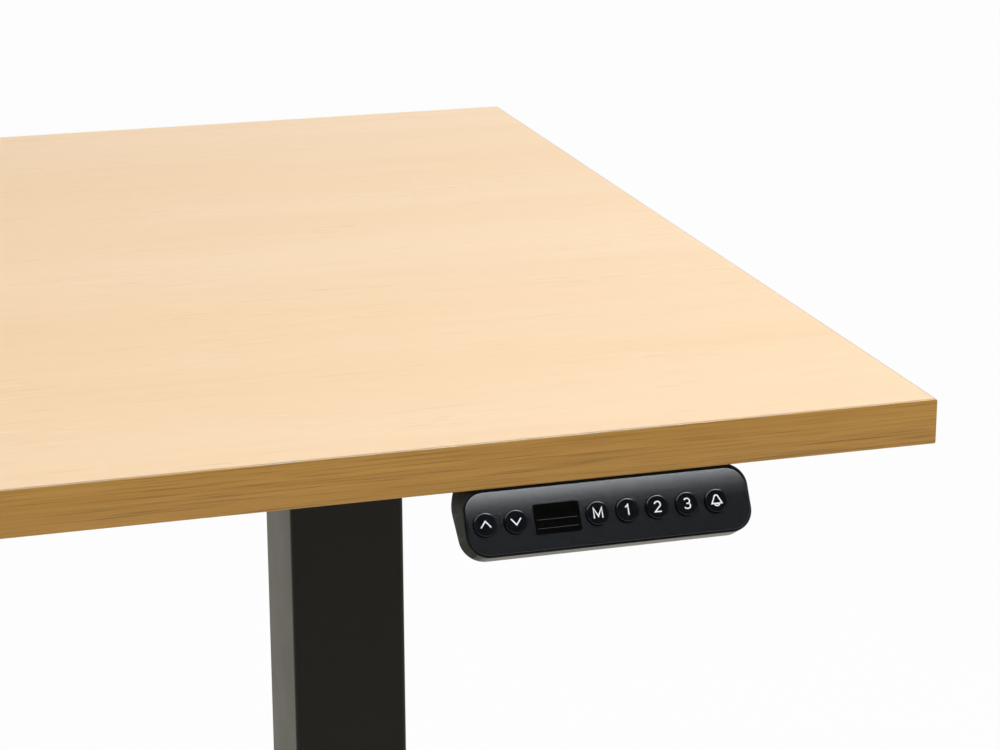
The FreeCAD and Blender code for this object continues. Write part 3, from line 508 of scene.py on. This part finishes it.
def beadTree():
    tree = bpy.data.node_groups.new("weldBead", "GeometryNodeTree")
    face = tree.interface
    face.new_socket(name="Path", in_out="INPUT", socket_type="NodeSocketGeometry")
    face.new_socket(name="Width", in_out="INPUT", socket_type="NodeSocketFloat")
    face.new_socket(name="Step", in_out="INPUT", socket_type="NodeSocketFloat")
    face.new_socket(name="Unevenness", in_out="INPUT", socket_type="NodeSocketFloat")
    face.new_socket(name="Finish", in_out="INPUT", socket_type="NodeSocketMaterial")
    face.new_socket(name="Bead", in_out="OUTPUT", socket_type="NodeSocketGeometry")
    given = tree.nodes.new("NodeGroupInput")
    path = addNode(tree, "GeometryNodeMeshToCurve", {"Mesh": given.outputs["Path"]})
    even = addNode(tree, "GeometryNodeCurveToPoints",
                   {"Curve": path.outputs[0], "Length": given.outputs["Step"]}, mode="LENGTH")
    drop = addNode(tree, "GeometryNodeMeshUVSphere", {"Segments": 8, "Rings": 6, "Radius": 0.5})
    low = calc(tree, "SUBTRACT", 1.0, given.outputs["Unevenness"])
    vary = addNode(tree, "FunctionNodeRandomValue", {2: low, 3: 1.0, "Seed": 7})
    size = calc(tree, "MULTIPLY", vary.outputs[1], given.outputs["Width"])
    put = addNode(tree, "GeometryNodeInstanceOnPoints",
                  {"Points": even.outputs["Points"], "Instance": drop.outputs["Mesh"],
                   "Rotation": even.outputs["Rotation"], "Scale": size})
    solid = addNode(tree, "GeometryNodeRealizeInstances", {"Geometry": put.outputs["Instances"]})
    painted = addNode(tree, "GeometryNodeSetMaterial",
                      {"Geometry": solid.outputs[0], "Material": given.outputs["Finish"]})
    out = tree.nodes.new("NodeGroupOutput")
    tree.links.new(painted.outputs[0], out.inputs[0])
    return tree


def roundedPath(x0, x1, y0, y1, z, radius, steps=5):
    points = []
    for cx, cy, start in ((x1 - radius, y1 - radius, 0), (x0 + radius, y1 - radius, 90),
                          (x0 + radius, y0 + radius, 180), (x1 - radius, y0 + radius, 270)):
        for i in range(steps + 1):
            a = math.radians(start + 90 * i / steps)
            points.append((cx + radius * math.cos(a), cy + radius * math.sin(a), z))
    return points


def layBead(tree, name, body, path):
    mesh = bpy.data.meshes.new(name)
    count = len(path)
    mesh.from_pydata(path, [(i, (i + 1) % count) for i in range(count)], [])
    points = bpy.data.objects.new(name, mesh)
    bpy.context.scene.collection.objects.link(points)
    made = runTree(tree, points, {"Width": weld["width"], "Step": weld["step"],
                                  "Unevenness": weld["unevenness"], "Finish": powder})
    made.name = name
    addPiece(name, made, body, () if made.materials else (powder,), smooth=60)


bead = beadTree()
for side in sideNames:
    tubeLow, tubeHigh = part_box(f"column_collar_{side}")
    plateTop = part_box(f"foot_bolts_{side}")[1].z + weld["aboveBolts"]
    layBead(bead, f"columnWeld.{side}", f"base_{side}",
            roundedPath(tubeLow.x, tubeHigh.x, tubeLow.y, tubeHigh.y, plateTop, 0.003))
print("welds done")


# handset: printed keys, plate, case and the display's thin lines

legend = {"tone": (0.93, 0.95, 0.97), "lift": 0.00004, "thick": 0.00003, "tall": 0.0047, "line": 0.00058}
display = {"glass": (0.0014, 0.0015, 0.0014), "line": (0.085, 0.08, 0.07), "inset": 0.0012,
           "lines": (-0.0002, -0.0042), "lineWidth": 0.00016, "thick": 0.00002, "lift": 0.00002}
keyCap = {"colour": (0.0022, 0.0032, 0.0050), "worn": (0.0027, 0.0037, 0.0058), "gloss": 0.13}


def makeKeyCap():
    mat, tree, shader = newMaterial("keyCapGloss")
    smear = noise(tree, pattern(tree), 420.0, 3.0, 0.5)
    colour = mixColour(tree, spread(tree, smear, 0.3, 0.8), keyCap["colour"], keyCap["worn"])
    shade(tree, shader, colour, spread(tree, smear, 0.3, 0.7, keyCap["gloss"], keyCap["gloss"] + 0.05))
    return mat


def makeInk():
    mat, tree, shader = newMaterial("keyInk")
    thin = noise(tree, pattern(tree), 2600.0, 2.0, 0.5)
    colour = mixColour(tree, spread(tree, thin, 0.35, 0.8), legend["tone"], tuple(0.78 * c for c in legend["tone"]))
    shade(tree, shader, colour, 0.45)
    return mat


def makeWindow():
    mat, tree, shader = newMaterial("displayWindow")
    haze = noise(tree, pattern(tree), 300.0, 3.0, 0.5)
    colour = mixColour(tree, spread(tree, haze, 0.3, 0.8), display["glass"], tuple(1.3 * c for c in display["glass"]))
    shade(tree, shader, colour, spread(tree, haze, 0.3, 0.7, 0.07, 0.14))
    return mat


def makeLine(name, tone):
    mat, tree, shader = newMaterial(name)
    fade = noise(tree, pattern(tree), 900.0, 2.0, 0.5)
    shade(tree, shader, mixColour(tree, spread(tree, fade, 0.2, 0.8), tone, tuple(0.8 * c for c in tone)), 0.25)
    return mat


pressAxis = Vector([j for j in frame["joints"] if j["name"] == "button_up_press"][0]["axis"]).normalized()
faceOut = -pressAxis
faceRight = Vector((1, 0, 0))
faceUp = faceOut.cross(faceRight)


def faceFrame(node, lift):
    # a frame on the outer face of a handset part: x right, y up the face, z out of it
    points = [v.co for v in nodes[node].data.vertices]
    top = max(p.dot(faceOut) for p in points)
    low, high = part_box(node)
    middle = (low + high) / 2
    middle += faceOut * (top + lift - middle.dot(faceOut))
    outer = [p for p in points if p.dot(faceOut) > top - 1e-5]
    ups = [p.dot(faceUp) for p in outer]
    middle += faceUp * ((min(ups) + max(ups)) / 2 - middle.dot(faceUp))
    return Matrix.Translation(middle) @ Matrix((faceRight, faceUp, faceOut)).transposed().to_4x4()


def strokeMesh(name, strokes, width, thick):
    # flat ribbons along polylines, with mitred bends and a small thickness
    work = bmesh.new()
    for line in strokes:
        pts = [Vector((x, y, 0)) for x, y in line]
        closed = (pts[0] - pts[-1]).length < 1e-9
        if closed:
            pts = pts[:-1]
        count, sides = len(pts), []
        for i, p in enumerate(pts):
            before = pts[i - 1] if i or closed else None
            after = pts[(i + 1) % count] if i < count - 1 or closed else None
            a = (p - before).normalized() if before is not None else (after - p).normalized()
            b = (after - p).normalized() if after is not None else a
            across = Vector((-(a + b).y, (a + b).x, 0)).normalized()
            across *= width / 2 / max(0.45, across.dot(Vector((-a.y, a.x, 0))))
            sides.append((p + across, p - across))
        up = Vector((0, 0, thick))
        rings = [[work.verts.new(q) for q in (l, r, r + up, l + up)] for l, r in sides]
        for a, b in list(zip(rings, rings[1:])) + ([(rings[-1], rings[0])] if closed else []):
            for i in range(4):
                j = (i + 1) % 4
                work.faces.new((a[i], a[j], b[j], b[i]))
        if not closed:
            work.faces.new(rings[0])
            work.faces.new(rings[-1][::-1])
    return meshFromBmesh(name, work)


def arc(cx, cy, rx, ry, start, end, steps=9):
    turns = [math.radians(start + (end - start) * i / steps) for i in range(steps + 1)]
    return [(cx + rx * math.cos(a), cy + ry * math.sin(a)) for a in turns]


# each mark drawn one unit tall about its middle
marks = {"button_up": [[(-0.50, -0.30), (0, 0.32), (0.50, -0.30)]],
         "button_down": [[(-0.50, 0.30), (0, -0.32), (0.50, 0.30)]],
         "button_memory": [[(-0.42, -0.5), (-0.42, 0.5), (0, -0.34), (0.42, 0.5), (0.42, -0.5)]],
         "button_one": [[(-0.24, 0.24), (0.04, 0.5), (0.04, -0.5)]],
         "button_two": [arc(0, 0.2, 0.30, 0.30, 165, -28) + [(-0.32, -0.5), (0.34, -0.5)]],
         "button_three": [arc(-0.01, 0.24, 0.28, 0.26, 155, -75) + [(-0.08, 0.0)],
                          arc(-0.01, -0.23, 0.31, 0.27, 78, -155)],
         "button_bell": [[(-0.52, -0.30), (-0.22, 0.30)] + arc(0, 0.30, 0.22, 0.22, 150, 30, 6)
                         + [(0.22, 0.30), (0.52, -0.30), (-0.52, -0.30)], arc(0, -0.32, 0.26, 0.2, 195, 345, 6)]}


ink = makeInk()
keyGloss = makeKeyCap()
for key, strokes in marks.items():
    giveMaterial(keyGloss, key)
    name = "legend" + "".join(part.capitalize() for part in key.split("_")[1:])
    tall = legend["tall"]
    drawn = [[(x * tall, y * tall) for x, y in line] for line in strokes]
    mesh = strokeMesh(name, drawn, legend["line"], legend["thick"])
    mesh.transform(faceFrame(key, legend["lift"]))
    addPiece(name, mesh, key, (ink,))

shell = {"crown": 0.0009, "cuts": 44, "frontDepth": 0.0008, "shine": 0.19, "sideShine": 0.62, "underShine": 0.36,
         "sideSpecular": 0.15, "underSpecular": 0.5}


def makeBezelSkin():
    mat, tree, shader = newMaterial("bezelSkin")
    s = plastics["handsetShell"]
    spark = noise(tree, pattern(tree), s["grain"], 2.0, 0.5)
    colour = mixColour(tree, spread(tree, spark, 0.3, 0.8), s["colour"], s["worn"])
    rough = spread(tree, spark, 0.3, 0.7, shell["shine"] - 0.04, shell["shine"] + 0.08)
    shade(tree, shader, colour, rough, bump(tree, spark, 0.22, 0.00012),
          **{"Specular IOR Level": 0.5, "Specular Tint": (0.92, 0.97, 1.0, 1.0)})
    return mat


def makeShellSkin(name, shine, level):
    mat, tree, shader = newMaterial(name)
    s = plastics["handsetShell"]
    grain = noise(tree, pattern(tree), s["grain"], 2.0, 0.5)
    colour = mixColour(tree, spread(tree, grain, 0.3, 0.8), s["colour"], s["worn"])
    shade(tree, shader, colour, spread(tree, grain, 0.3, 0.7, shine - 0.03, shine + 0.06),
          bump(tree, grain, 0.4, 0.00015), **{"Specular IOR Level": level})
    return mat


def makeCrownedBezel():
    # the front plate, its face falling back a little towards the top edge
    work = bmesh.new()
    work.from_mesh(nodes["handset_bezel"].data)
    bmesh.ops.remove_doubles(work, verts=work.verts, dist=1e-7)
    ups = [v.co.dot(faceUp) for v in work.verts]
    front = max(v.co.dot(faceOut) for v in work.verts)
    middle, half = (min(ups) + max(ups)) / 2, (max(ups) - min(ups)) / 2
    for i in range(1, shell["cuts"]):
        at = middle + half * (2 * i / shell["cuts"] - 1)
        bmesh.ops.bisect_plane(work, geom=work.verts[:] + work.edges[:] + work.faces[:], dist=1e-7,
                               plane_co=faceUp * at, plane_no=faceUp)
    for v in work.verts:
        if front - v.co.dot(faceOut) < shell["frontDepth"]:
            v.co -= faceOut * shell["crown"] * max(0.0, (v.co.dot(faceUp) - middle) / half) ** 2
    piece = addPiece("handsetPlate", meshFromBmesh("handsetPlate", work), "top",
                     (makeBezelSkin(),), smooth=30)
    for face in piece.data.polygons:
        face.use_smooth = face.normal.dot(faceOut) < 0.98
    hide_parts("handset_bezel")


def makeCase():
    # the case with a smoother underside, which meets the floor's light at a low angle
    work = bmesh.new()
    work.from_mesh(nodes["handset_case"].data)
    bmesh.ops.remove_doubles(work, verts=work.verts, dist=1e-7)
    work.normal_update()
    for face in work.faces:
        face.material_index = 1 if face.normal.dot(faceUp) < -0.8 else 0
    mats = (makeShellSkin("handsetSides", shell["sideShine"], shell["sideSpecular"]),
            makeShellSkin("handsetUnder", shell["underShine"], shell["underSpecular"]))
    piece = addPiece("handsetCase", meshFromBmesh("handsetCase", work), "top", mats, smooth=30)
    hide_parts("handset_case")


makeCrownedBezel()
makeCase()
giveMaterial(makeWindow(), "display_window")
giveMaterial(makePlastic("boardGreen"), "handset_board", "button_switches")


windowLow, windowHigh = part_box("display_window")
windowWide = windowHigh.x - windowLow.x
windowFace = faceFrame("display_window", display["lift"])
half = windowWide / 2 - display["inset"]
lines = [[(-half, y), (half, y)] for y in display["lines"]]
mesh = strokeMesh("displayLines", lines, display["lineWidth"], display["thick"])
mesh.transform(windowFace)
addPiece("displayLines", mesh, "top", (makeLine("displayLine", display["line"]),))
print("handset done")


# floor, light and camera

studio = {"floorTone": (0.86, 0.86, 0.86), "floorGlow": 0.95, "front": 0.025, "back": 1.0, "fill": 0.58,
          "mirror": (1.0, 0.955, 0.84), "softbox": 20.0, "contact": 0.35}


def makeFloor():
    mat, tree, shader = newMaterial("studioFloor")
    grit = noise(tree, pattern(tree), 3.0, 3.0, 0.5)
    shade(tree, shader, mixColour(tree, spread(tree, grit, 0.3, 0.7), studio["floorTone"], (0.84, 0.84, 0.84)), 0.8)
    rays = addNode(tree, "ShaderNodeLightPath")
    depth = addNode(tree, "ShaderNodeSeparateXYZ", {0: pattern(tree)}).outputs[1]
    mirrored = calc(tree, "MULTIPLY", rays.outputs["Is Glossy Ray"], spread(tree, depth, -1.0, -0.5, 0.0, 1.0))
    seen = calc(tree, "MAXIMUM", rays.outputs["Is Camera Ray"], mirrored)
    seen = calc(tree, "MAXIMUM", seen, rays.outputs["Is Transmission Ray"])
    tint = mixColour(tree, rays.outputs["Is Glossy Ray"], (1.0, 1.0, 1.0), studio["mirror"])
    clear = addNode(tree, "ShaderNodeAmbientOcclusion", {"Distance": studio["contact"]}, samples=16).outputs["AO"]
    glow = addNode(tree, "ShaderNodeEmission", {"Color": tint, "Strength": spread(tree, clear, 0.35, 0.97, 0.7, 1.0)})
    both = addNode(tree, "ShaderNodeMixShader", {0: calc(tree, "MULTIPLY", seen, studio["floorGlow"]),
                                                 1: shader.outputs[0], 2: glow.outputs[0]})
    tree.links.new(both.outputs[0], tree.nodes["Material Output"].inputs["Surface"])
    mesh = bpy.data.meshes.new("floor")
    mesh.from_pydata([(-30, -30, 0), (30, -30, 0), (30, 30, 0), (-30, 30, 0)], [], [(0, 1, 2, 3)])
    mesh.materials.append(mat)
    floor = bpy.data.objects.new("floor", mesh)
    bpy.context.scene.collection.objects.link(floor)


def makeWorld():
    world = bpy.data.worlds.new("studio")
    bpy.context.scene.world = world
    world.use_nodes = True
    tree = world.node_tree
    tree.nodes.clear()
    where = addNode(tree, "ShaderNodeTexCoord")
    parts = addNode(tree, "ShaderNodeSeparateXYZ", {0: where.outputs["Generated"]})
    backward = spread(tree, parts.outputs[1], -0.5, 0.6, studio["front"], studio["back"])
    rightward = spread(tree, parts.outputs[0], 0.1, 0.45, 0.8, 1.3)
    above = spread(tree, parts.outputs[2], 0.735, 0.83, 0.0, studio["softbox"])
    inFront = calc(tree, "MULTIPLY", spread(tree, parts.outputs[1], 0.1, -0.3),
                   spread(tree, parts.outputs[0], 0.17, 0.34, 0.35, 1.4))
    mirrored = calc(tree, "ADD", calc(tree, "MULTIPLY", backward, rightward), calc(tree, "MULTIPLY", above, inFront))
    shine = addNode(tree, "ShaderNodeBackground", {"Color": (1, 1, 1, 1), "Strength": mirrored})
    fill = addNode(tree, "ShaderNodeBackground", {"Color": (1, 0.995, 0.985, 1), "Strength": studio["fill"]})
    white = addNode(tree, "ShaderNodeBackground", {"Color": (1, 1, 1, 1), "Strength": 1.0})
    rays = addNode(tree, "ShaderNodeLightPath")
    glossy = calc(tree, "MAXIMUM", rays.outputs["Is Glossy Ray"], rays.outputs["Is Transmission Ray"])
    first = addNode(tree, "ShaderNodeMixShader", {0: glossy, 1: fill.outputs[0], 2: shine.outputs[0]})
    last = addNode(tree, "ShaderNodeMixShader",
                   {0: rays.outputs["Is Camera Ray"], 1: first.outputs[0], 2: white.outputs[0]})
    out = addNode(tree, "ShaderNodeOutputWorld")
    tree.links.new(last.outputs[0], out.inputs["Surface"])


def makeLamp(name, place, target, size, power, glossy=True):
    data = bpy.data.lights.new(name, "AREA")
    data.shape, data.size, data.size_y, data.energy = "RECTANGLE", size[0], size[1], power
    lamp = bpy.data.objects.new(name, data)
    lamp.location, lamp.visible_glossy = place, glossy
    lamp.rotation_euler = (Vector(target) - Vector(place)).to_track_quat("-Z", "Y").to_euler()
    bpy.context.scene.collection.objects.link(lamp)


def makeCamera():
    s = {"lens": 97.48, "yaw": 16.50, "pitch": 17.05, "roll": -0.22, "fromCorner": (-0.5357, -1.0927, 0.3804)}
    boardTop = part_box("worktop_board")[1].z
    corner = Vector((cadBox[1][0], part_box("edge_band_front")[0].y, boardTop))
    yaw, pitch, roll = (math.radians(s[k]) for k in ("yaw", "pitch", "roll"))
    ahead = Vector((math.sin(yaw) * math.cos(pitch), math.cos(yaw) * math.cos(pitch), -math.sin(pitch)))
    right = Vector((math.cos(yaw), -math.sin(yaw), 0))
    up = right.cross(ahead)
    rightTurned = math.cos(roll) * right + math.sin(roll) * up
    upTurned = -math.sin(roll) * right + math.cos(roll) * up
    data = bpy.data.cameras.new("camera")
    data.lens, data.sensor_width, data.clip_end = s["lens"], 36.0, 200.0
    camera = bpy.data.objects.new("camera", data)
    turn = Matrix((rightTurned, upTurned, -ahead)).transposed().to_4x4()
    camera.matrix_world = Matrix.Translation(corner + Vector(s["fromCorner"])) @ turn
    bpy.context.scene.collection.objects.link(camera)
    bpy.context.scene.camera = camera


makeFloor()
makeWorld()
makeLamp("overhead", (0.95, -0.35, 2.7), (0.4, -0.1, 0.7), (2.4, 1.7), 17.0)
makeLamp("frontTop", (1.35, -1.5, 2.75), (0.6, -0.3, 0.68), (1.3, 0.45), 16.5, glossy=False)
makeCamera()
print("stage done")
